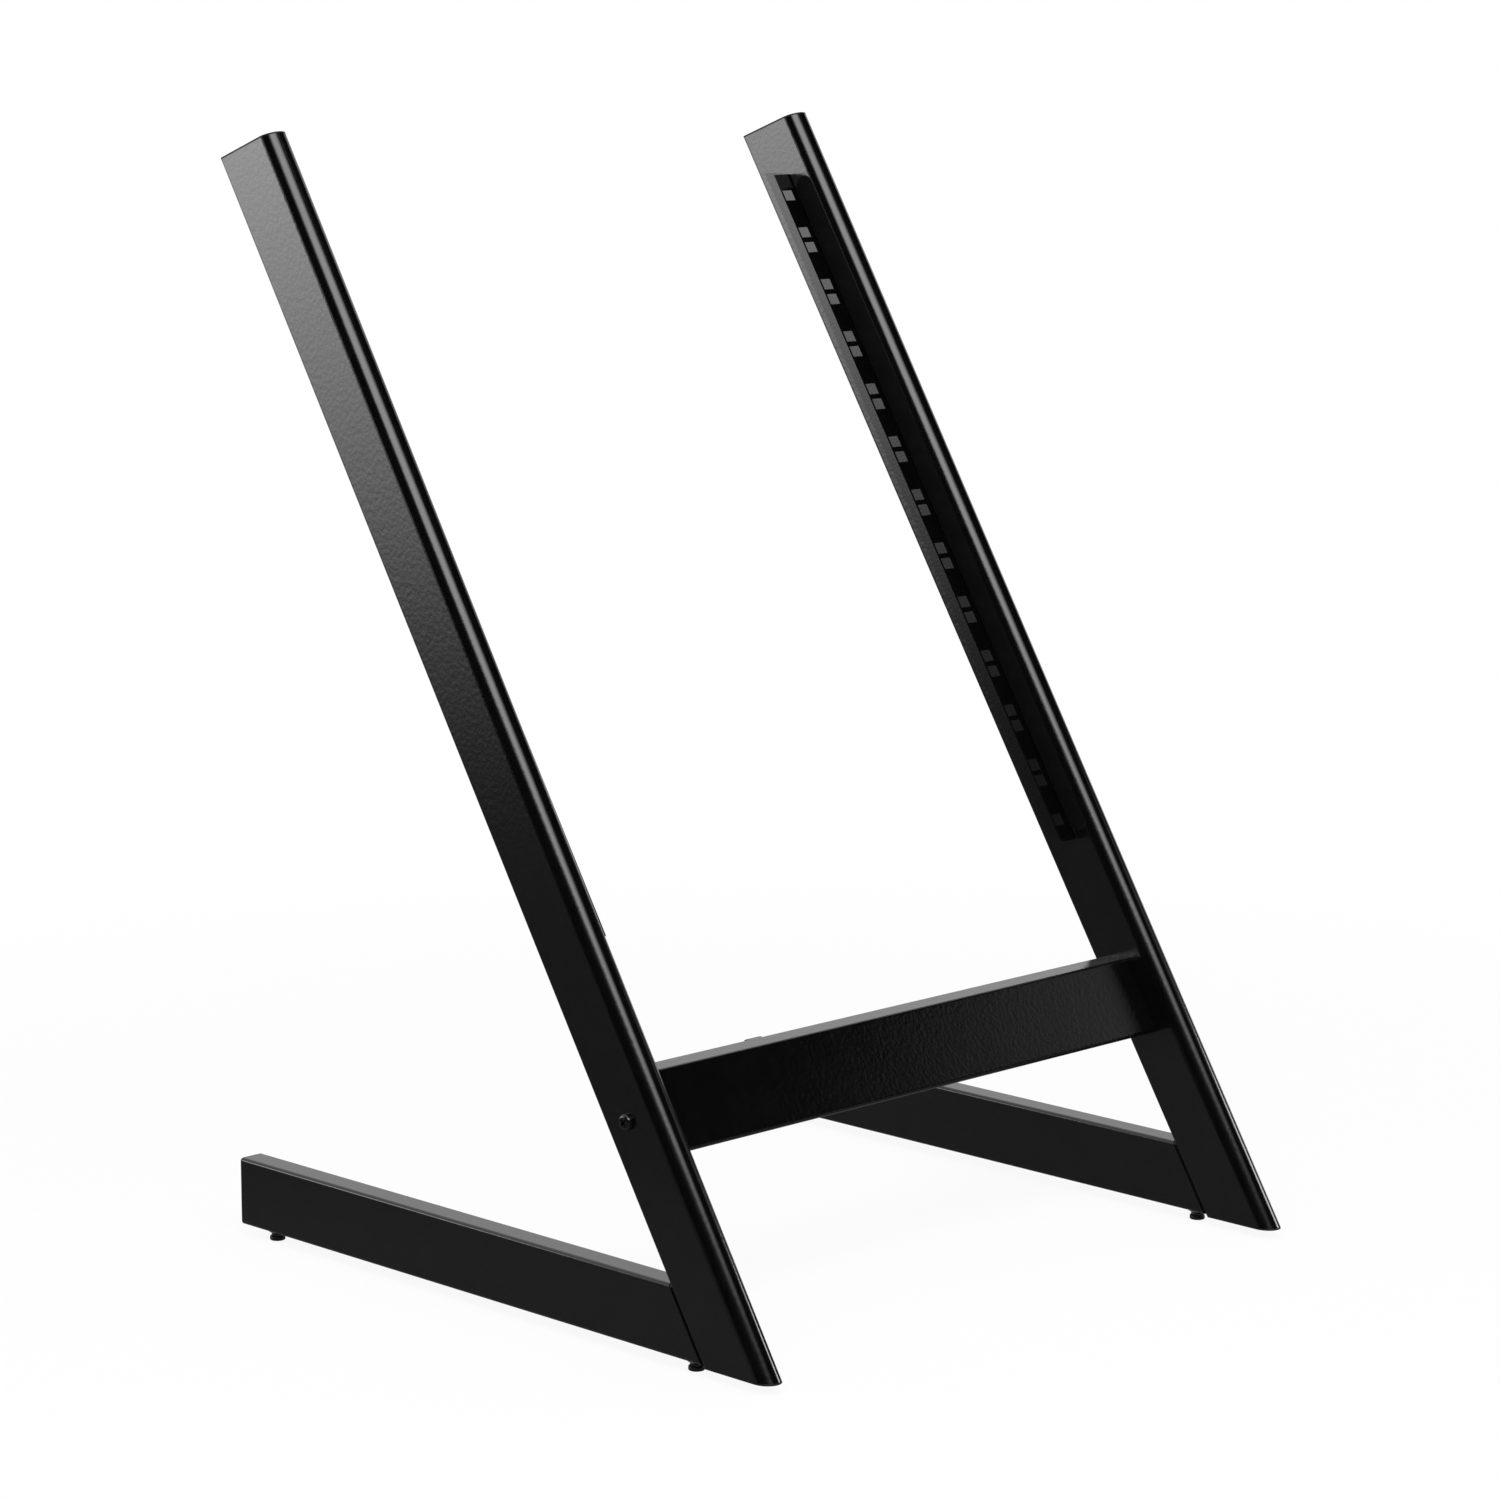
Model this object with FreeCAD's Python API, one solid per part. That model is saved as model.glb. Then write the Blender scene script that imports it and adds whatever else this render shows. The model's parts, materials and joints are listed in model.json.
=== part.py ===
import FreeCAD, Part
import math
import os

# Leaning 12-unit studio rack stand. Millimetres, +Z up, front toward -Y, origin on the floor
# under the middle of the stand's footprint.

V = FreeCAD.Vector

# Equipment rack standard: panel, holes and units.
UNITS = 12
UNIT_PITCH = 44.45
PANEL_WIDTH = 482.6
PANEL_CLEARANCE = 1.2
EAR_WIDTH = 15.3
HOLE_FROM_PANEL_EDGE = 8.75
HOLE_SIDE = 9.5
HOLE_FROM_UNIT_EDGE = 6.35

# Steel tube shared by uprights and feet.
TUBE_WIDTH = 20.0
TUBE_WALL = 1.5
CORNER_R = 2.5
LEAST_R = 0.5

# Uprights: a flat-sided tube with a full-round nose, leaning back, slightly deeper at the top.
LEAN_DEG = 32.0
REAR_LENGTH = 889.5
FLAT_AT_FOOT = 39.6
FLAT_AT_TOP = 46.1
TOP_CUT_DEG = 20.3

# Feet and levellers.
FOOT_HEIGHT = 48.7
FOOT_REACH = 469.5
FOOT_CLEAR = 7.5
SEAM = 1.0
SEAM_INSET = 0.8
FRONT_LEVELLER_Y = 15.4
REAR_LEVELLER_INSET = 26.6
STUD_D = 6.0
STUD_LENGTH = 20.0
STUD_CHAMFER = 0.6
COLLAR_FLATS = 8.0
COLLAR_H = 1.5
TAIL_D = 4.0
TAIL_LENGTH = 1.8
PAD_D = 11.0
PAD_T = 3.0
PAD_EDGE_R = 0.8
INSERT_D = 9.0
INSERT_HEAD_D = 12.0
INSERT_HEAD_T = 1.5
INSERT_LENGTH = 14.0
RUNNING_CLEAR = 0.05

# Crossbar: folded sheet channel, web parallel to the uprights, open at the back.
BAR_SHEET = 2.0
BAR_WEB_V = 27.2
BAR_LOW_Z = 126.1
BAR_HIGH_Z = 176.0
BAR_FLANGE = 20.7
BAR_LIP = 8.0
BAR_BEND_R = 2.5
END_PLATE_T = 3.0

# Crossbar fasteners.
SCREW_U = 163.0
SCREW_V = 20.8
SCREW_D = 6.0
SCREW_HOLE_D = 6.6
SCREW_HEAD_D = 11.0
SCREW_HEAD_H = 4.0
SCREW_TIP = 1.5
SCREW_CHAMFER = 0.7
HEAD_RIM_H = 1.4
HEAD_SHOULDER_D = 9.9
HEAD_SHOULDER_H = 3.2
HEAD_TOP_D = 6.05
RECESS_SPAN = 6.0
RECESS_SLOT = 1.3
RECESS_DEPTH = 2.2
SLEEVE_D = 10.0
BUSH_D = 8.6
BUSH_LENGTH = 8.0
PIN_D = 4.0
PIN_SPACING = 32.0
PIN_REACH = 2.5
PIN_CHAMFER = 0.4

# Rack rails: steel angle on the uprights' inner faces, ends cut parallel to the floor.
RAIL_T = 2.0
RAIL_FACE_V = 28.9
RAIL_REAR_V = 8.5
RAIL_BEND_R = 2.5
RAIL_LOW_Z = 257.8
RAIL_SPAN_Z = 471.0

# Moulded plugs and caps.
CAP_RIM = 1.2
FOOT_CAP_RIM = 2.0
FOOT_CAP_R = 1.2
PLUG_DEPTH = 12.0
PLUG_WALL = 1.6
PLUG_CLEAR = 0.15

# Cutting shapes reach this far past the faces they cut, and places agree to within this much.
OVERCUT = 1.0
SAME = 0.01

LEAN = math.radians(LEAN_DEG)
RIGHT = V(1, 0, 0)
UP = V(0, 0, 1)
X_IN = (PANEL_WIDTH + 2.0 * PANEL_CLEARANCE) / 2.0
X_OUT = X_IN + TUBE_WIDTH
X_MID = (X_IN + X_OUT) / 2.0
RAIL_EDGE_X = PANEL_WIDTH / 2.0 - EAR_WIDTH
HOLE_X = PANEL_WIDTH / 2.0 - HOLE_FROM_PANEL_EDGE
RAIL_HIGH_Z = RAIL_LOW_Z + RAIL_SPAN_Z
REAR_LEVELLER_Y = FOOT_REACH - REAR_LEVELLER_INSET
NOSE_R = TUBE_WIDTH / 2.0
FRONT_REACH = (FLAT_AT_FOOT + NOSE_R) / math.cos(LEAN) + CAP_RIM * math.tan(LEAN)
Y_HEEL = (FRONT_REACH - FOOT_REACH - FOOT_CAP_RIM) / 2.0
SPAN = 2.0 * (FOOT_REACH + FRONT_REACH + REAR_LENGTH)
AXIS = V(0, math.sin(LEAN), math.cos(LEAN))
FORWARD = V(0, -math.cos(LEAN), math.sin(LEAN))
HEEL = V(0, Y_HEEL, FOOT_CLEAR)


def at(u, v, x=0.0):
    """Point u along the lean from the heel, v in front of the upright's rear face."""
    return HEEL + AXIS * u + FORWARD * v + V(x, 0, 0)


def polygon(points):
    return Part.Face(Part.makePolygon(points + [points[0]]))


def side_prism(points_yz, x0, x1):
    """Straight prism across x from a side-view outline."""
    return polygon([V(x0, y, z) for y, z in points_yz]).extrude(V(x1 - x0, 0, 0))


def cylinder(radius, base, direction, length):
    return Part.makeCylinder(radius, length, base, direction)


def mirrored(shape):
    return shape.mirror(V(0, 0, 0), RIGHT)


def filleted(shape, radius, wanted):
    return shape.makeFillet(radius, [e for e in shape.Edges if wanted(e)])


def runs_along(edge, direction):
    if not isinstance(edge.Curve, Part.Line):
        return False
    return abs(edge.tangentAt(edge.FirstParameter).dot(direction)) > 0.9999


def flat_at(u):
    """Length of the upright's flat side at u."""
    return FLAT_AT_FOOT + (FLAT_AT_TOP - FLAT_AT_FOOT) * u / REAR_LENGTH


def upright_core(inset):
    """Endless upright section, every wall moved in by inset."""
    low, high = -2.0 * FOOT_HEIGHT, REAR_LENGTH + 2.0 * FOOT_HEIGHT
    corners = [(low, inset), (high, inset), (high, flat_at(high)), (low, flat_at(low))]
    flat = polygon([at(u, v, X_IN + inset) for u, v in corners]).extrude(V(TUBE_WIDTH - 2.0 * inset, 0, 0))
    rear = [e for e in flat.Edges
            if runs_along(e, AXIS) and abs((e.CenterOfMass - HEEL).dot(FORWARD) - inset) < SAME]
    flat = flat.makeFillet(max(CORNER_R - inset, LEAST_R), rear)
    start, end = at(low, flat_at(low), X_MID), at(high, flat_at(high), X_MID)
    nose = cylinder(NOSE_R - inset, start, end - start, (end - start).Length)
    return flat.fuse(nose).removeSplitter()


def side_window(z_low, top_lift):
    """Side-view region from a floor-parallel cut at z_low to the top cut raised by top_lift."""
    tilt = math.radians(TOP_CUT_DEG)
    along, up = V(0, -math.cos(tilt), math.sin(tilt)), V(0, math.sin(tilt), math.cos(tilt))
    on_cut = at(REAR_LENGTH, 0) + up * top_lift
    ring = [on_cut + along * SPAN, on_cut - along * SPAN]
    ring += [ring[1] - up * (2.0 * SPAN), ring[0] - up * (2.0 * SPAN)]
    below_top = side_prism([(p.y, p.z) for p in ring], X_IN - TUBE_WIDTH, X_OUT + TUBE_WIDTH)
    z_high = z_low + 2.0 * SPAN
    above_low = side_prism([(-SPAN, z_low), (SPAN, z_low), (SPAN, z_high), (-SPAN, z_high)],
                           X_IN - TUBE_WIDTH, X_OUT + TUBE_WIDTH)
    return below_top.common(above_low)


def screw_axis(x):
    return at(SCREW_U, SCREW_V, x)


def pin_axes(x):
    return [at(SCREW_U + side * PIN_SPACING / 2.0, SCREW_V, x) for side in (-1, 1)]


OUTER = upright_core(0.0)
INNER = upright_core(TUBE_WALL)
PLUG_OUTER = upright_core(TUBE_WALL + PLUG_CLEAR)
PLUG_INNER = upright_core(TUBE_WALL + PLUG_CLEAR + PLUG_WALL)


def behind(v):
    """Everything on the right-hand side that lies behind v."""
    ring = [at(-SPAN, v), at(SPAN, v), at(SPAN, -SPAN), at(-SPAN, -SPAN)]
    return polygon(ring).extrude(V(2.0 * X_OUT, 0, 0))


def make_upright():
    tube = OUTER.cut(INNER).common(side_window(FOOT_CLEAR, 0.0))
    start = X_IN - OVERCUT
    holes = [cylinder(SCREW_HOLE_D / 2.0, screw_axis(start), RIGHT, TUBE_WIDTH + 2.0 * OVERCUT)]
    holes += [cylinder(PIN_D / 2.0 + RUNNING_CLEAR, p, RIGHT, TUBE_WALL + 2.0 * OVERCUT)
              for p in pin_axes(start)]
    for hole in holes:
        tube = tube.cut(hole)
    return tube


def make_top_plug():
    rim = OUTER.common(side_window(0.0, CAP_RIM).cut(side_window(0.0, 0.0)))
    neck = PLUG_OUTER.cut(PLUG_INNER).common(side_window(0.0, 0.0).cut(side_window(0.0, -PLUG_DEPTH)))
    return rim.fuse(neck).removeSplitter()


def make_bottom_plug():
    below = FOOT_CLEAR - CAP_RIM
    rim = OUTER.common(side_window(below, 0.0).cut(side_window(FOOT_CLEAR, 0.0)))
    neck = PLUG_OUTER.cut(PLUG_INNER)
    neck = neck.common(side_window(FOOT_CLEAR, 0.0).cut(side_window(FOOT_CLEAR + PLUG_DEPTH, 0.0)))
    return rim.fuse(neck).removeSplitter()


def foot_bar(inset, y0, y1):
    """Rounded rectangular bar along y in the foot's section, moved in by inset."""
    bar = Part.makeBox(TUBE_WIDTH - 2.0 * inset, y1 - y0, FOOT_HEIGHT - 2.0 * inset,
                       V(X_IN + inset, y0, FOOT_CLEAR + inset))
    return filleted(bar, max(CORNER_R - inset, LEAST_R), lambda e: runs_along(e, V(0, 1, 0)))


def leveller_y(place):
    return Y_HEEL + place


def make_foot():
    back = Y_HEEL + FOOT_REACH
    front = Y_HEEL - FOOT_HEIGHT
    tube = foot_bar(0.0, front, back).cut(foot_bar(TUBE_WALL, front - OVERCUT, back + OVERCUT))
    tube = tube.common(behind(-SEAM))
    for place in (FRONT_LEVELLER_Y, REAR_LEVELLER_Y):
        base = V(X_MID, leveller_y(place), FOOT_CLEAR - OVERCUT)
        tube = tube.cut(cylinder(INSERT_D / 2.0, base, UP, TUBE_WALL + 2.0 * OVERCUT))
    return tube


def make_joint_plate():
    """Plate closing the foot's mitred end, set in a little so that a narrow groove shows at the joint."""
    bar = foot_bar(SEAM_INSET, Y_HEEL - FOOT_HEIGHT, Y_HEEL + FOOT_HEIGHT)
    return bar.common(behind(0.0)).cut(behind(-SEAM))


def make_foot_cap():
    back = Y_HEEL + FOOT_REACH
    rim = foot_bar(0.0, back, back + FOOT_CAP_RIM)
    rim = filleted(rim, FOOT_CAP_R, lambda e: abs(e.BoundBox.YMin - rim.BoundBox.YMax) < SAME)
    inset = TUBE_WALL + PLUG_CLEAR
    neck = foot_bar(inset, back - PLUG_DEPTH, back).cut(
        foot_bar(inset + PLUG_WALL, back - PLUG_DEPTH - OVERCUT, back))
    return rim.fuse(neck).removeSplitter()


def make_insert(place):
    """Rivet nut set through the foot's floor, flange under it."""
    x, y = X_MID, leveller_y(place)
    head = cylinder(INSERT_HEAD_D / 2.0, V(x, y, FOOT_CLEAR - INSERT_HEAD_T), UP, INSERT_HEAD_T)
    barrel = cylinder(INSERT_D / 2.0, V(x, y, FOOT_CLEAR), UP, INSERT_LENGTH)
    bulge = cylinder(INSERT_HEAD_D / 2.0, V(x, y, FOOT_CLEAR + TUBE_WALL), UP, INSERT_HEAD_T)
    bore = cylinder(STUD_D / 2.0 + RUNNING_CLEAR, V(x, y, 0), UP, 2.0 * FOOT_HEIGHT)
    return head.fuse([barrel, bulge]).cut(bore).removeSplitter()


def make_stud(place):
    """Leveller stud: shank, wrench collar resting on the glide, tail turning in the glide's socket."""
    x, y = X_MID, leveller_y(place)
    top = PAD_T + STUD_LENGTH
    shank = cylinder(STUD_D / 2.0, V(x, y, PAD_T), UP, STUD_LENGTH)
    shank = shank.makeChamfer(STUD_CHAMFER, [e for e in shank.Edges if e.BoundBox.ZMin > top - SAME])
    reach = COLLAR_FLATS / math.sqrt(3.0)
    turns = [math.radians(60 * k) for k in range(6)]
    collar = polygon([V(x + reach * math.cos(a), y + reach * math.sin(a), PAD_T) for a in turns])
    collar = collar.extrude(UP * COLLAR_H)
    tail = cylinder(TAIL_D / 2.0, V(x, y, PAD_T - TAIL_LENGTH), UP, TAIL_LENGTH)
    return shank.fuse([collar, tail]).removeSplitter()


def make_pad(place):
    """Moulded glide: disc with a rounded shoulder and a socket for the stud's tail."""
    r, t, e = PAD_D / 2.0, PAD_T, PAD_EDGE_R
    mid = e * (1.0 - math.sqrt(0.5))
    shoulder = Part.Arc(V(r, 0, t - e), V(r - mid, 0, t - mid), V(r - e, 0, t))
    outline = Part.Wire([
        Part.makeLine(V(0, 0, 0), V(r - e / 2.0, 0, 0)),
        Part.makeLine(V(r - e / 2.0, 0, 0), V(r, 0, e / 2.0)),
        Part.makeLine(V(r, 0, e / 2.0), V(r, 0, t - e)),
        shoulder.toShape(),
        Part.makeLine(V(r - e, 0, t), V(0, 0, t)),
        Part.makeLine(V(0, 0, t), V(0, 0, 0))])
    disc = Part.Face(outline).revolve(V(0, 0, 0), UP, 360)
    depth = TAIL_LENGTH + RUNNING_CLEAR
    disc = disc.cut(cylinder(TAIL_D / 2.0 + RUNNING_CLEAR, V(0, 0, t - depth), UP, 2.0 * depth))
    disc.translate(V(X_MID, leveller_y(place), 0))
    return disc


def make_rail():
    """Angle: front flange with square cut-outs, leg back along the upright's inner face."""
    low, high = 0.0, REAR_LENGTH
    edge = RAIL_EDGE_X
    corners = [(edge, RAIL_FACE_V), (X_IN, RAIL_FACE_V), (X_IN, RAIL_REAR_V), (X_IN - RAIL_T, RAIL_REAR_V),
               (X_IN - RAIL_T, RAIL_FACE_V - RAIL_T), (edge, RAIL_FACE_V - RAIL_T)]
    angle = polygon([at(low, v, x) for x, v in corners]).extrude(AXIS * (high - low))

    def on_line(e, x, v):
        c = e.CenterOfMass
        return runs_along(e, AXIS) and abs(c.x - x) < SAME and abs((c - HEEL).dot(FORWARD) - v) < SAME

    angle = filleted(angle, RAIL_BEND_R, lambda e: on_line(e, X_IN, RAIL_FACE_V))
    angle = filleted(angle, RAIL_BEND_R - RAIL_T, lambda e: on_line(e, X_IN - RAIL_T, RAIL_FACE_V - RAIL_T))
    ends = side_prism([(-SPAN, FOOT_CLEAR + RAIL_LOW_Z), (SPAN, FOOT_CLEAR + RAIL_LOW_Z),
                       (SPAN, FOOT_CLEAR + RAIL_HIGH_Z), (-SPAN, FOOT_CLEAR + RAIL_HIGH_Z)], 0.0, X_OUT)
    rail = angle.common(ends)
    cuts = []
    for centre in rack_hole_places():
        corner = at(centre - HOLE_SIDE / 2.0, RAIL_FACE_V - 2.0 * RAIL_T, HOLE_X - HOLE_SIDE / 2.0)
        square = polygon([corner, corner + V(HOLE_SIDE, 0, 0), corner + V(HOLE_SIDE, 0, 0) + AXIS * HOLE_SIDE,
                          corner + AXIS * HOLE_SIDE])
        cuts.append(square.extrude(FORWARD * (3.0 * RAIL_T)))
    return rail.cut(cuts)


def rack_hole_places():
    """Hole centres along the lean, two to a unit, the units centred on the rail."""
    rail_mid = (RAIL_LOW_Z + RAIL_HIGH_Z) / 2.0
    middle = (rail_mid - RAIL_FACE_V * math.sin(LEAN)) / math.cos(LEAN)
    bottom = middle - UNITS * UNIT_PITCH / 2.0
    places = []
    for unit in range(UNITS):
        base = bottom + unit * UNIT_PITCH
        places += [base + HOLE_FROM_UNIT_EDGE, base + UNIT_PITCH - HOLE_FROM_UNIT_EDGE]
    return places


def bar_point(v_back, z):
    """Side-view point of the crossbar: v_back behind the web's front face, at height z above the feet."""
    y = (z * math.sin(LEAN) - BAR_WEB_V) / math.cos(LEAN)
    return (Y_HEEL + y + v_back, FOOT_CLEAR + z)


def bar_outline(inset):
    """Crossbar's side-view outline, moved in by inset all round."""
    skew = inset / math.cos(LEAN)
    low, high = BAR_LOW_Z + inset, BAR_HIGH_Z - inset
    return [bar_point(skew, low), bar_point(BAR_FLANGE - inset, low),
            bar_point(BAR_FLANGE - inset, high), bar_point(skew, high)]


def make_crossbar():
    whole = side_prism(bar_outline(0.0), -X_IN, X_IN)
    whole = filleted(whole, BAR_BEND_R, lambda e: runs_along(e, RIGHT))
    hollow = side_prism(bar_outline(BAR_SHEET), -X_IN - OVERCUT, X_IN + OVERCUT)
    hollow = filleted(hollow, max(BAR_BEND_R - BAR_SHEET, LEAST_R), lambda e: runs_along(e, RIGHT))
    low, high = BAR_LOW_Z + BAR_LIP, BAR_HIGH_Z - BAR_LIP
    slot = [bar_point(BAR_FLANGE / 2.0, low), bar_point(2.0 * BAR_FLANGE, low),
            bar_point(2.0 * BAR_FLANGE, high), bar_point(BAR_FLANGE / 2.0, high)]
    return whole.cut(hollow).cut(side_prism(slot, -X_IN - OVERCUT, X_IN + OVERCUT))


def make_end_plate():
    """Plate welded into the channel's end, drilled for the screw and the two pins."""
    plate = side_prism(bar_outline(BAR_SHEET), X_IN - END_PLATE_T, X_IN)
    plate = filleted(plate, max(BAR_BEND_R - BAR_SHEET, LEAST_R), lambda e: runs_along(e, RIGHT))
    start, depth = X_IN - END_PLATE_T - OVERCUT, END_PLATE_T + 2.0 * OVERCUT
    plate = plate.cut(cylinder(SCREW_HOLE_D / 2.0, screw_axis(start), RIGHT, depth))
    for p in pin_axes(start):
        plate = plate.cut(cylinder(PIN_D / 2.0 + RUNNING_CLEAR, p, RIGHT, depth))
    return plate


def make_bush():
    """Threaded bush welded behind the end plate."""
    face = X_IN - END_PLATE_T
    base = screw_axis(face - BUSH_LENGTH)
    bush = cylinder(BUSH_D / 2.0, base, RIGHT, BUSH_LENGTH)
    bore = cylinder(SCREW_D / 2.0 + RUNNING_CLEAR, base - RIGHT * OVERCUT, RIGHT, BUSH_LENGTH + 2.0 * OVERCUT)
    return bush.cut(bore)


def make_sleeve():
    """Spacer inside the upright that keeps the screw from crushing the tube."""
    length = TUBE_WIDTH - 2.0 * TUBE_WALL
    base = screw_axis(X_IN + TUBE_WALL)
    bore = cylinder(SCREW_HOLE_D / 2.0, base - RIGHT * OVERCUT, RIGHT, length + 2.0 * OVERCUT)
    return cylinder(SLEEVE_D / 2.0, base, RIGHT, length).cut(bore)


def make_screw():
    """Pan head with a cross recess, shank through the upright into the bush."""
    tip = X_IN - END_PLATE_T - BUSH_LENGTH - SCREW_TIP
    r, h = SCREW_HEAD_D / 2.0, SCREW_HEAD_H
    rim, top = V(r, 0, HEAD_RIM_H), V(HEAD_TOP_D / 2.0, 0, h)
    shoulder = V(HEAD_SHOULDER_D / 2.0, 0, HEAD_SHOULDER_H)
    outline = Part.Wire([
        Part.makeLine(V(0, 0, 0), V(r, 0, 0)),
        Part.makeLine(V(r, 0, 0), rim),
        Part.Arc(rim, shoulder, top).toShape(),
        Part.makeLine(top, V(0, 0, h)),
        Part.makeLine(V(0, 0, h), V(0, 0, 0))])
    head = Part.Face(outline).revolve(V(0, 0, 0), UP, 360)
    for turn in (0, 90):
        slot = Part.makeBox(RECESS_SPAN, RECESS_SLOT, 2.0 * RECESS_DEPTH,
                            V(-RECESS_SPAN / 2.0, -RECESS_SLOT / 2.0, h - RECESS_DEPTH))
        slot.rotate(V(0, 0, 0), UP, turn + 45)
        head = head.cut(slot)
    shank = Part.makeCylinder(SCREW_D / 2.0, X_OUT - tip, V(0, 0, tip - X_OUT))
    shank = shank.makeChamfer(SCREW_CHAMFER, [e for e in shank.Edges if e.BoundBox.ZMax < tip - X_OUT + SAME])
    screw = head.fuse(shank).removeSplitter()
    screw.rotate(V(0, 0, 0), V(0, 1, 0), 90)
    screw.translate(screw_axis(X_OUT))
    return screw


def make_pins():
    """Two dowels pressed in the end plate that stop the crossbar from turning."""
    length = END_PLATE_T + TUBE_WALL + 2.0 * PIN_REACH
    pins = []
    for p in pin_axes(X_IN - END_PLATE_T - PIN_REACH):
        pin = cylinder(PIN_D / 2.0, p, RIGHT, length)
        ends = [e for e in pin.Edges if isinstance(e.Curve, Part.Circle)]
        pins.append(pin.makeChamfer(PIN_CHAMFER, ends))
    return pins


def save(name, shape):
    shape.exportStep(os.path.join("parts", name + ".step"))


def save_pair(name, shape):
    """Right-hand piece as built, left-hand piece mirrored."""
    save("right_" + name, shape)
    save("left_" + name, mirrored(shape))


os.makedirs("parts", exist_ok=True)

save_pair("upright", make_upright())
save_pair("upright_top_plug", make_top_plug())
save_pair("upright_bottom_plug", make_bottom_plug())
save_pair("foot", make_foot())
save_pair("foot_joint_plate", make_joint_plate())
save_pair("foot_end_cap", make_foot_cap())
save_pair("rack_rail", make_rail())
save("crossbar", make_crossbar())
save_pair("crossbar_end_plate", make_end_plate())
save_pair("crossbar_bush", make_bush())
save_pair("crossbar_screw", make_screw())
save_pair("screw_sleeve", make_sleeve())
right_pins = make_pins()
save("crossbar_locating_pins", Part.makeCompound(right_pins + [mirrored(p) for p in right_pins]))

for place_name, place in (("front", FRONT_LEVELLER_Y), ("rear", REAR_LEVELLER_Y)):
    save_pair(place_name + "_leveller_insert", make_insert(place))
    save_pair(place_name + "_leveller_stud", make_stud(place))
    save_pair(place_name + "_leveller_pad", make_pad(place))
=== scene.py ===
import json
import math
from collections import namedtuple

import bpy
from mathutils import Matrix, Vector

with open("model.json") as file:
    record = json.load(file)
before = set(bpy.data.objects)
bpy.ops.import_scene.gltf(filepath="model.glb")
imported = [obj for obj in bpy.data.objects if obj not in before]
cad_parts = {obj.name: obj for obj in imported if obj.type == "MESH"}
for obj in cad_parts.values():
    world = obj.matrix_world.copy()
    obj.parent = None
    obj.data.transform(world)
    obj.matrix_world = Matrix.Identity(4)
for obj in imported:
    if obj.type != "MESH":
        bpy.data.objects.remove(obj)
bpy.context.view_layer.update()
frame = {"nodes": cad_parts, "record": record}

# Camera, as the photograph was taken: metres and degrees in the part's frame.
CAMERA_AT = (-2.2350, -2.23155, 0.9073)
CAMERA_YAW = -44.867
CAMERA_PITCH = -9.981
CAMERA_ROLL = -0.02
FOCAL_PX = 4577.0
PHOTO_PX = 1500.0
SENSOR_MM = 36.0
CLIP_NEAR, CLIP_FAR = 0.05, 100.0

# The uprights' leaning line, and the strip of painted shade in the corner along the front of their rack rails, in
# metres: its two ends and its middle line, half its width, its soft edge, and the most that its face lies to the
# side.
LEAN = math.radians(32.0)
UPRIGHT_ALONG = Vector((0.0, math.sin(LEAN), math.cos(LEAN)))
UPRIGHT_FORWARD = Vector((0.0, -math.cos(LEAN), math.sin(LEAN)))
HEEL = Vector((0.0, -0.206131, 0.0075))
SHADE_STRIP_LOW = 0.299 + HEEL.dot(UPRIGHT_ALONG)
SHADE_STRIP_HIGH = 0.825 + HEEL.dot(UPRIGHT_ALONG)
SHADE_STRIP_MIDDLE = 0.0381 + HEEL.dot(UPRIGHT_FORWARD)
SHADE_STRIP_R = 0.0091
SHADE_STRIP_SOFT = 0.001
SHADE_STRIP_SIDE = 0.2428

# How far a surface looks along the uprights' forward axis where their noses begin, and from where on it is all nose.
NOSE_FROM, NOSE_FULL = 0.03, 0.25

# Finish details: waves per metre and depths in metres.
MOTTLE = 38.0
ZINC_CLOUD = 240.0
ZINC_PITS, ZINC_PIT_DEPTH = 2600.0, 0.00002
ZINC_LINES, ZINC_LINE_DEPTH = (150.0, 150.0, 5200.0), 0.00003
NOISE_LOW, NOISE_HIGH = 0.3, 0.7

# A Mix node's sockets by number, since its kinds of value share their names.
FLOAT_A, FLOAT_B, FLOAT_OUT = 2, 3, 0
COLOUR_A, COLOUR_B, COLOUR_OUT = 6, 7, 2

# Stage: light levels as shares of white, lengths in metres.
WORLD_LIGHT = 0.45
FLOOR_HALF = 14.0
FLOOR_DROP = 0.0004
FLOOR_GREY = (0.82, 0.82, 0.82, 1.0)
FLOOR_WHITE_NEAR = 0.92
FLOOR_NEAR, FLOOR_FAR = 0.5, 1.6
CARD_DROP, UPPER_CARD_DROP = 0.0002, 0.0001
CARD_STEPS = 48
ALONG_X, ALONG_Z = (1.0, 0.0, 0.0), (0.0, 0.0, 1.0)
CROSSBAR_CARD_ACROSS = (0.541, 0.841, 0.0)

# A change of tone across a card: the axis to measure along, or None for the distance from the origin, where it
# starts and ends, and the share of the card's tone at both.
Ramp = namedtuple("Ramp", "axis start end low high")


# Node helpers

def new_material(name):
    """A node material with its Principled shader."""
    material = bpy.data.materials.new(name)
    material.use_nodes = True
    tree = material.node_tree
    return material, tree, tree.nodes["Principled BSDF"]


def add(tree, kind, **settings):
    """A node with some of its properties or input values set."""
    node = tree.nodes.new(kind)
    for key, value in settings.items():
        if key in node.inputs:
            node.inputs[key].default_value = value
        else:
            setattr(node, key, value)
    return node


def math_node(tree, operation, first, second=None):
    """A calculation with one or two values, each a number or another node's output."""
    node = add(tree, "ShaderNodeMath", operation=operation)
    for socket, value in zip(node.inputs, (first, second)):
        if isinstance(value, bpy.types.NodeSocket):
            tree.links.new(value, socket)
        elif value is not None:
            socket.default_value = value
    return node.outputs[0]


def measure(tree, place, axis=None):
    """How far a place lies along an axis, or from the origin where no axis is given."""
    node = add(tree, "ShaderNodeVectorMath", operation="LENGTH" if axis is None else "DOT_PRODUCT")
    tree.links.new(place, node.inputs[0])
    if axis is not None:
        node.inputs[1].default_value = axis
    return node.outputs["Value"]


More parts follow.
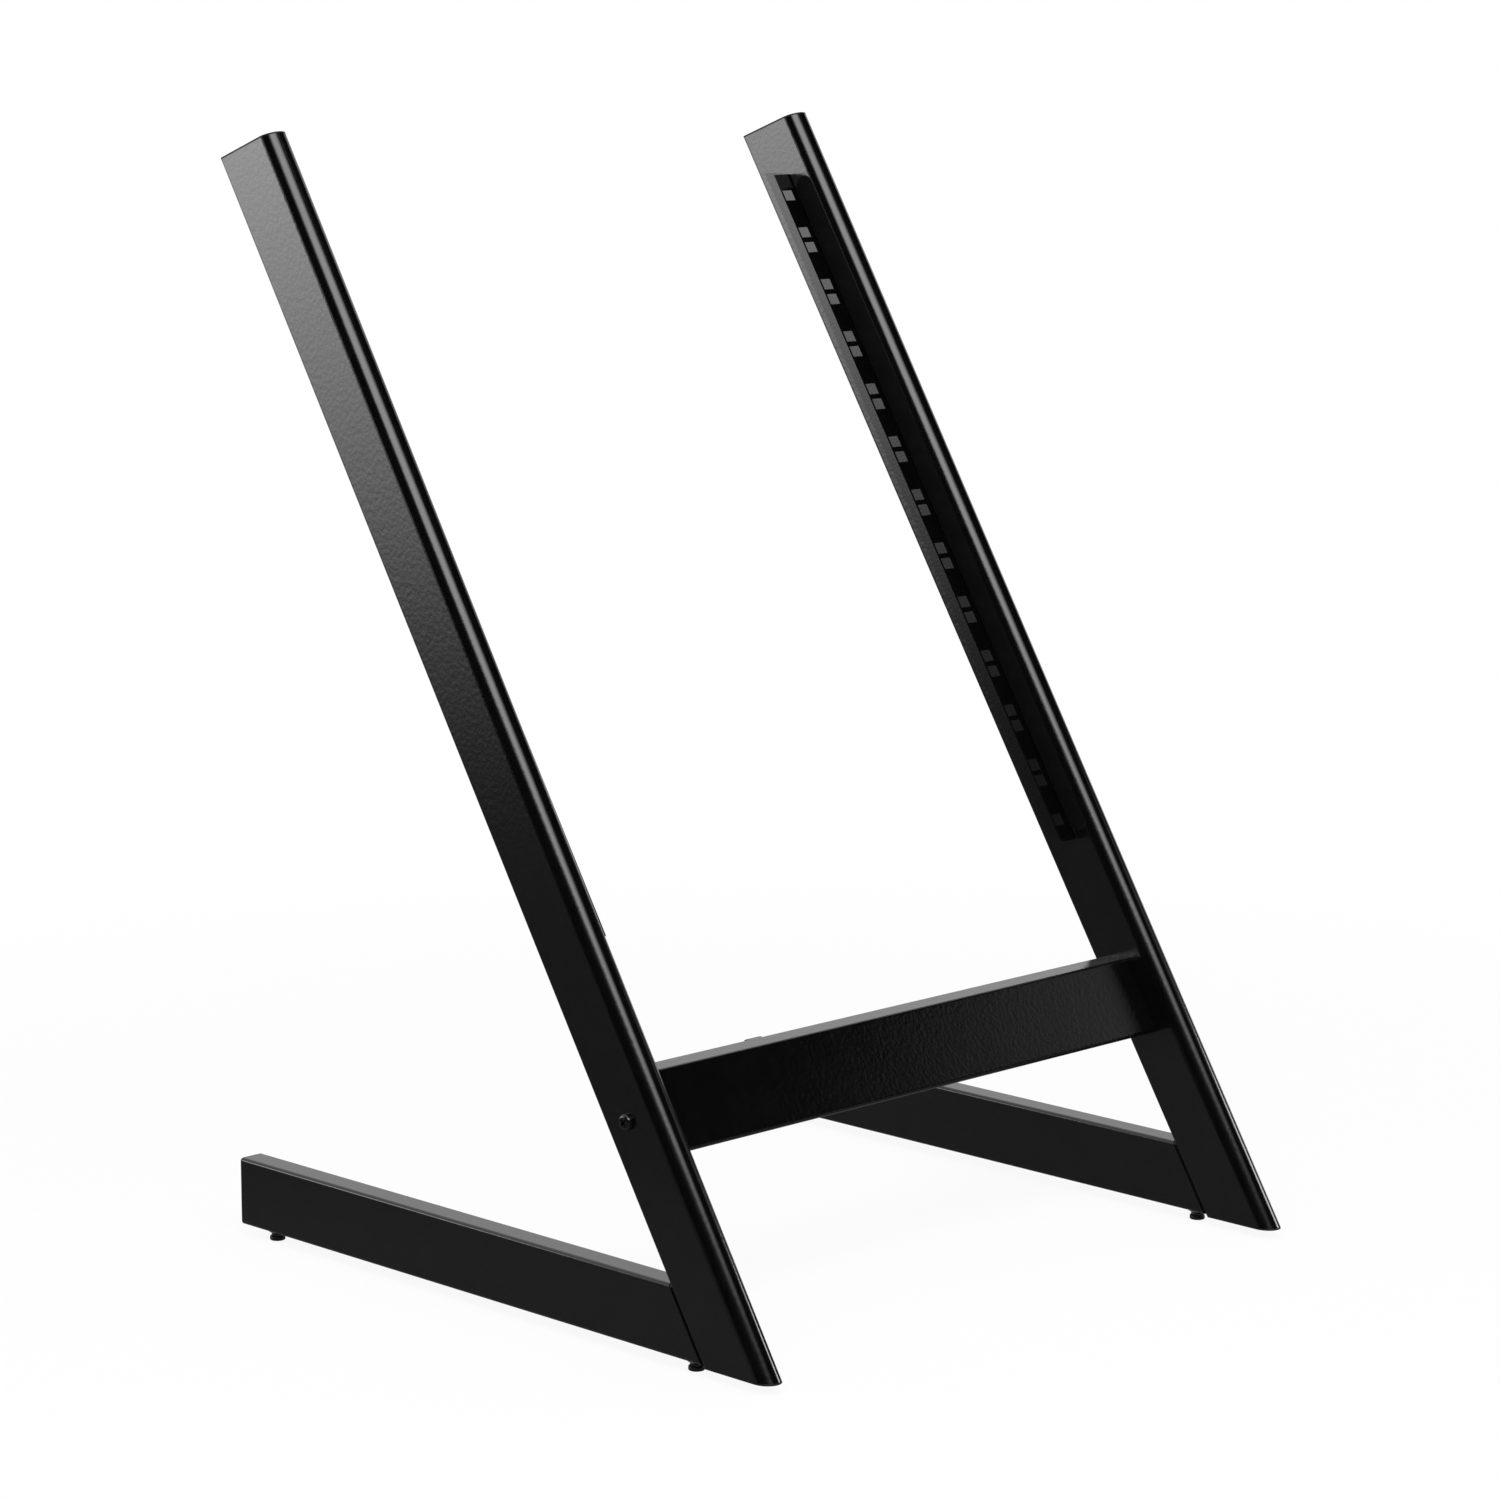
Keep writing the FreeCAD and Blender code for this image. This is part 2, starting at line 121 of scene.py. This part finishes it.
def object_place(tree):
    """The object's own coordinates."""
    return add(tree, "ShaderNodeTexCoord").outputs["Object"]


def object_normal(tree):
    """The way the object's surface looks, without its relief."""
    return add(tree, "ShaderNodeTexCoord").outputs["Normal"]


def noise(tree, place, scale, detail=2.0, rough=0.5):
    """Noise texture over the place, scale in waves per metre."""
    node = add(tree, "ShaderNodeTexNoise", Scale=scale, Detail=detail, Roughness=rough)
    tree.links.new(place, node.inputs["Vector"])
    return node.outputs["Fac"]


def spread(tree, value, low, high, from_low=NOISE_LOW, from_high=NOISE_HIGH, **settings):
    """The value stretched from one range to another."""
    node = add(tree, "ShaderNodeMapRange", **settings)
    node.inputs["From Min"].default_value = from_low
    node.inputs["From Max"].default_value = from_high
    node.inputs["To Min"].default_value = low
    node.inputs["To Max"].default_value = high
    tree.links.new(value, node.inputs["Value"])
    return node.outputs["Result"]


def tint(tree, value, dark, light):
    """Colour between two tones by the value."""
    node = add(tree, "ShaderNodeMix", data_type="RGBA")
    node.inputs[COLOUR_A].default_value = (*dark, 1.0)
    node.inputs[COLOUR_B].default_value = (*light, 1.0)
    tree.links.new(value, node.inputs[0])
    return node.outputs[COLOUR_OUT]


def relief(tree, height, depth, below=None):
    """Bump of that depth in metres, over another bump if one is given."""
    node = add(tree, "ShaderNodeBump", Strength=1.0, Distance=depth)
    tree.links.new(height, node.inputs["Height"])
    if below is not None:
        tree.links.new(below, node.inputs["Normal"])
    return node.outputs["Normal"]


# Finishes

def rail_corner_shade(tree, place):
    """1 on a round-ended strip of the uprights' inner faces, in the corner along the front of the rack rails, where
    shade is painted.
    """
    along = measure(tree, place, UPRIGHT_ALONG)
    kept = add(tree, "ShaderNodeClamp", Min=SHADE_STRIP_LOW, Max=SHADE_STRIP_HIGH)
    tree.links.new(along, kept.inputs["Value"])
    flat = add(tree, "ShaderNodeCombineXYZ")
    tree.links.new(math_node(tree, "SUBTRACT", along, kept.outputs[0]), flat.inputs[0])
    off_line = math_node(tree, "SUBTRACT", measure(tree, place, UPRIGHT_FORWARD), SHADE_STRIP_MIDDLE)
    tree.links.new(off_line, flat.inputs[1])
    strip = spread(tree, measure(tree, flat.outputs[0]), 1.0, 0.0, SHADE_STRIP_R - SHADE_STRIP_SOFT, SHADE_STRIP_R)
    split = add(tree, "ShaderNodeSeparateXYZ")
    tree.links.new(place, split.inputs[0])
    inner = math_node(tree, "LESS_THAN", math_node(tree, "ABSOLUTE", split.outputs[0]), SHADE_STRIP_SIDE)
    return math_node(tree, "MULTIPLY", strip, inner)


def coat(name, dark, light, rough, peel, peel_depth, grain, grain_depth, specular=0.5, shade_rough=None,
         shade_metal=0.0, nose_peel=None):
    """Sprayed or moulded finish: mottled tone, uneven gloss, an orange-peel wave and a finer grain on it.

    With a roughness for the painted shade, the coat turns matt and partly metal over its near-black colour in the
    corner along
    the rack rails: painted shade that darkens that corner and hides the rails' holes mirrored in it.
    With a nose peel, that share of the wave is left on the uprights' noses, where the coat is drawn thin.
    """
    material, tree, shader = new_material(name)
    links = tree.links
    place = object_place(tree)
    mottle = noise(tree, place, MOTTLE, detail=4.0, rough=0.6)
    wave = noise(tree, place, peel, detail=2.0, rough=0.45)
    speck = noise(tree, place, grain, detail=3.0, rough=0.6)
    links.new(tint(tree, spread(tree, mottle, 0.0, 1.0), dark, light), shader.inputs["Base Color"])
    gloss = spread(tree, speck, *rough)
    # Painted shade: a matt, darkened strip in the corner along the rack rails.
    if shade_rough is not None:
        shade_mask = rail_corner_shade(tree, place)
        blend = add(tree, "ShaderNodeMix", data_type="FLOAT")
        links.new(shade_mask, blend.inputs[0])
        links.new(gloss, blend.inputs[FLOAT_A])
        blend.inputs[FLOAT_B].default_value = shade_rough
        gloss = blend.outputs[FLOAT_OUT]
        links.new(math_node(tree, "MULTIPLY", shade_mask, shade_metal), shader.inputs["Metallic"])
    links.new(gloss, shader.inputs["Roughness"])
    under = relief(tree, wave, peel_depth)
    if nose_peel is not None:
        forward = measure(tree, object_normal(tree), UPRIGHT_FORWARD)
        links.new(spread(tree, forward, 1.0, nose_peel, NOSE_FROM, NOSE_FULL), under.node.inputs["Strength"])
    links.new(relief(tree, speck, grain_depth, under), shader.inputs["Normal"])
    shader.inputs["Specular IOR Level"].default_value = specular
    return material


def plated(name, dark, light, rough):
    """Bright zinc: metal with fine turning lines, cloudy passivation and small pits."""
    material, tree, shader = new_material(name)
    links = tree.links
    place = object_place(tree)
    cloud = noise(tree, place, ZINC_CLOUD, detail=4.0, rough=0.6)
    pits = noise(tree, place, ZINC_PITS)
    squeeze = add(tree, "ShaderNodeMapping", Scale=ZINC_LINES)
    links.new(place, squeeze.inputs["Vector"])
    lines = noise(tree, squeeze.outputs["Vector"], 1.0)
    links.new(tint(tree, spread(tree, cloud, 0.0, 1.0), dark, light), shader.inputs["Base Color"])
    links.new(spread(tree, cloud, *rough), shader.inputs["Roughness"])
    under = relief(tree, lines, ZINC_LINE_DEPTH)
    links.new(relief(tree, pits, ZINC_PIT_DEPTH, under), shader.inputs["Normal"])
    shader.inputs["Metallic"].default_value = 1.0
    return material


COAT_TONES = {"dark": (0.0016, 0.0016, 0.0017), "light": (0.0026, 0.0026, 0.0027), "rough": (0.12, 0.17)}
FINISHES = {
    # The tubes' coat carries the painted shade in the corner along the rack rails.
    "powder_coat": coat("powder_coat_black", **COAT_TONES, peel=300.0, peel_depth=0.0001,
                        grain=1500.0, grain_depth=0.00001, shade_rough=0.95, shade_metal=0.65, nose_peel=0.35),
    "rail_coat": coat("rail_coat_black", dark=(0.001, 0.001, 0.0011), light=(0.0018, 0.0018, 0.0019),
                      rough=(0.14, 0.20), peel=520.0, peel_depth=0.00005,
                      grain=2100.0, grain_depth=0.00001, specular=0.38),
    "cap_plastic": coat("cap_plastic_black", dark=(0.004, 0.004, 0.0042), light=(0.007, 0.007, 0.0073),
                        rough=(0.40, 0.55), peel=900.0, peel_depth=0.00003,
                        grain=3200.0, grain_depth=0.00002, specular=0.25),
    "pad_plastic": coat("pad_plastic_black", dark=(0.002, 0.002, 0.0021), light=(0.004, 0.004, 0.0041),
                        rough=(0.36, 0.48), peel=700.0, peel_depth=0.00003,
                        grain=2800.0, grain_depth=0.00002),
    "zinc_steel": plated("zinc_steel_bright", dark=(0.36, 0.36, 0.37), light=(0.56, 0.56, 0.58),
                         rough=(0.26, 0.40)),
    "black_screw": coat("black_screw_oxide", dark=(0.0015, 0.0015, 0.0016), light=(0.003, 0.003, 0.0031),
                        rough=(0.10, 0.18), peel=1500.0, peel_depth=0.00002,
                        grain=4200.0, grain_depth=0.00001, specular=0.6),
}

# The crossbar's coat has a deeper orange peel than the tubes'.
NODE_FINISHES = {
    "crossbar": coat("powder_coat_crossbar", **COAT_TONES, peel=320.0, peel_depth=0.00016,
                     grain=1500.0, grain_depth=0.00001),
}

for part in frame["record"]["subparts"]:
    piece = frame["nodes"][part["node"]]
    piece.data.materials.clear()
    piece.data.materials.append(NODE_FINISHES.get(part["node"], FINISHES[part["material_slot"]]))


# Stage: white world, pale floor, cards and soft lights

def shows_white(tree):
    """1 for the rays that see the background: camera, mirror-like and see-through rays."""
    path = add(tree, "ShaderNodeLightPath").outputs
    seen = math_node(tree, "MAXIMUM", path["Is Camera Ray"], path["Is Glossy Ray"])
    return math_node(tree, "MAXIMUM", seen, path["Is Transmission Ray"])


def make_world():
    """White background that lights the part at a plain level."""
    world = bpy.data.worlds.new("studio_white")
    bpy.context.scene.world = world
    world.use_nodes = True
    tree = world.node_tree
    back = tree.nodes["Background"]
    back.inputs["Color"].default_value = (1.0, 1.0, 1.0, 1.0)
    tree.links.new(spread(tree, shows_white(tree), WORLD_LIGHT, 1.0, 0.0, 1.0), back.inputs["Strength"])


def stage_mesh(name, points, faces):
    """Mesh of the stage, not of the part."""
    mesh = bpy.data.meshes.new(name)
    mesh.from_pydata(points, [], faces)
    thing = bpy.data.objects.new(name, mesh)
    bpy.context.scene.collection.objects.link(thing)
    return thing


def stage_material(name):
    """A node material with no shader yet, and its output socket."""
    material, tree, shader = new_material(name)
    tree.nodes.remove(shader)
    return material, tree, tree.nodes["Material Output"].inputs["Surface"]


def make_floor():
    """Plain pale floor: white to the camera away from the part, with a soft shadow kept under and near it."""
    r = FLOOR_HALF
    floor = stage_mesh("floor", [(-r, -r, 0), (r, -r, 0), (r, r, 0), (-r, r, 0)], [(0, 1, 2, 3)])
    floor.location.z = -FLOOR_DROP
    material, tree, surface = stage_material("floor_white")
    links = tree.links
    matt = add(tree, "ShaderNodeBsdfDiffuse", Color=FLOOR_GREY)
    glow = add(tree, "ShaderNodeEmission", Strength=1.0)
    away = measure(tree, object_place(tree))
    fade = spread(tree, away, FLOOR_WHITE_NEAR, 1.0, FLOOR_NEAR, FLOOR_FAR, interpolation_type="SMOOTHSTEP")
    mix = add(tree, "ShaderNodeMixShader")
    links.new(math_node(tree, "MULTIPLY", shows_white(tree), fade), mix.inputs[0])
    links.new(matt.outputs[0], mix.inputs[1])
    links.new(glow.outputs[0], mix.inputs[2])
    links.new(mix.outputs[0], surface)
    floor.data.materials.append(material)


def make_flag(name, tone, points, faces, ramps):
    """Studio card that only mirror-like rays see, so that the glossy black coat has dark and light to reflect."""
    flag = stage_mesh(name, points, faces)
    material, tree, surface = stage_material(name)
    card = add(tree, "ShaderNodeEmission", Strength=tone)
    tree.links.new(card.outputs[0], surface)
    level = tone
    for ramp in ramps:
        distance = measure(tree, object_place(tree), ramp.axis)
        share = spread(tree, distance, ramp.low, ramp.high, ramp.start, ramp.end)
        level = math_node(tree, "MULTIPLY", share, level)
    if ramps:
        tree.links.new(level, card.inputs["Strength"])
    flag.data.materials.append(material)
    flag.visible_camera = False
    flag.visible_diffuse = False
    flag.visible_shadow = False
    flag.visible_transmission = False
    flag.visible_volume_scatter = False


def curved_flag(name, tone, radius, low, high, start_deg, end_deg, ramps=(), far=None):
    """Card bent round the part between two compass angles, counted from +X toward +Y.

    It stands at the radius, or reaches from there to a far radius where one is given.
    """
    edges = ((radius, low), (far or radius, high))
    points = []
    for k in range(CARD_STEPS + 1):
        a = math.radians(start_deg + (end_deg - start_deg) * k / CARD_STEPS)
        points += [(r * math.cos(a), r * math.sin(a), z) for r, z in edges]
    faces = [(2 * k, 2 * k + 2, 2 * k + 3, 2 * k + 1) for k in range(CARD_STEPS)]
    make_flag(name, tone, points, faces, ramps)


def floor_flag(name, tone, radius, ramps=()):
    """Round card lying under the part."""
    turn = 2 * math.pi / CARD_STEPS
    points = [(radius * math.cos(turn * k), radius * math.sin(turn * k), -CARD_DROP) for k in range(CARD_STEPS)]
    make_flag(name, tone, points, [tuple(range(CARD_STEPS))], ramps)


def facing_flag(name, tone, at, toward, width, height, ramps=()):
    """Rectangular card at a place, turned to a point."""
    middle = Vector(at)
    ahead = (Vector(toward) - middle).normalized()
    across = ahead.cross(Vector(ALONG_Z)).normalized() * (width / 2)
    up = across.cross(ahead).normalized() * (height / 2)
    points = [middle - across - up, middle + across - up, middle + across + up, middle - across + up]
    make_flag(name, tone, points, [(0, 1, 2, 3)], ramps)


def soft_light(name, at, aim, width, height, power):
    """Rectangular soft light at a place, turned to a point. The cards stand for it in mirror-like rays."""
    data = bpy.data.lights.new(name, "AREA")
    data.shape = "RECTANGLE"
    data.size = width
    data.size_y = height
    data.energy = power
    lamp = bpy.data.objects.new(name, data)
    lamp.location = at
    lamp.rotation_mode = "QUATERNION"
    lamp.rotation_quaternion = (Vector(aim) - Vector(at)).to_track_quat("-Z", "Y")
    bpy.context.scene.collection.objects.link(lamp)
    lamp.visible_camera = False
    lamp.visible_glossy = False


make_world()
make_floor()
floor_flag("flag_floor", tone=1.0, radius=3.5,
           ramps=(Ramp(None, 0.38, 0.75, 1.0, 0.62), Ramp(None, 2.0, 3.5, 0.2, 1.2)))
curved_flag("flag_floor_left", tone=0.0, radius=2.2, far=8.0, low=-UPPER_CARD_DROP, high=-UPPER_CARD_DROP,
            start_deg=139.5, end_deg=200.0)
curved_flag("flag_wall", tone=0.0, radius=8.0, low=-0.1, high=11.0, start_deg=146.0, end_deg=362.0)
curved_flag("flag_back", tone=0.86, radius=8.0, low=-0.1, high=5.5, start_deg=2.0, end_deg=85.0)
curved_flag("card_back_left", tone=6.7, radius=3.4, low=0.0, high=1.0, start_deg=118.0, end_deg=137.5,
            ramps=(Ramp(ALONG_Z, 0.0, 0.9, 0.12, 1.0),))
curved_flag("card_front", tone=6.2, radius=6.0, low=4.0, high=10.5, start_deg=186.0, end_deg=296.0,
            ramps=(Ramp(ALONG_Z, 4.35, 5.1, 0.04, 1.0), Ramp(ALONG_X, -6.0, -5.2, 0.0, 1.0),
                   Ramp(ALONG_X, -2.4, 1.4, 1.0, 0.0)))
facing_flag("card_right", tone=8.0, at=(1.44, -0.75, 0.58), toward=(0.0, -0.28, 0.05), width=0.36, height=0.52,
            ramps=(Ramp(ALONG_Z, 0.57, 0.85, 1.0, 0.0),))
facing_flag("card_crossbar", tone=0.3, at=(0.955, -0.674, 0.63), toward=(0.1, -0.15, 0.15), width=0.7, height=0.3,
            ramps=(Ramp(CROSSBAR_CARD_ACROSS, -0.30, 0.02, 0.0, 1.0),))
soft_light("softbox_back_left", at=(-2.02, 2.73, 0.62), aim=(0.0, 0.0, 0.62), width=1.4, height=0.75, power=15.0)
soft_light("softbox_front", at=(-1.35, -1.95, 2.95), aim=(0.0, 0.0, 0.4), width=3.2, height=1.4, power=110.0)
soft_light("softbox_top", at=(0.5, 0.8, 3.4), aim=(0.0, 0.0, 0.0), width=2.0, height=2.0, power=15.0)


# Camera

def make_camera():
    """Camera fitted to the photograph: turned from looking along +Y by yaw, then pitch and roll."""
    data = bpy.data.cameras.new("camera")
    data.sensor_width = SENSOR_MM
    data.lens = SENSOR_MM * FOCAL_PX / PHOTO_PX
    data.clip_start = CLIP_NEAR
    data.clip_end = CLIP_FAR
    camera = bpy.data.objects.new("camera", data)
    turn = Matrix.Rotation(math.radians(CAMERA_YAW), 4, "Z")
    tilt = Matrix.Rotation(math.radians(90.0 + CAMERA_PITCH), 4, "X")
    roll = Matrix.Rotation(math.radians(CAMERA_ROLL), 4, "Z")
    camera.matrix_world = Matrix.Translation(CAMERA_AT) @ turn @ tilt @ roll
    bpy.context.scene.collection.objects.link(camera)
    bpy.context.scene.camera = camera


make_camera()
bpy.context.scene.view_settings.view_transform = "Standard"
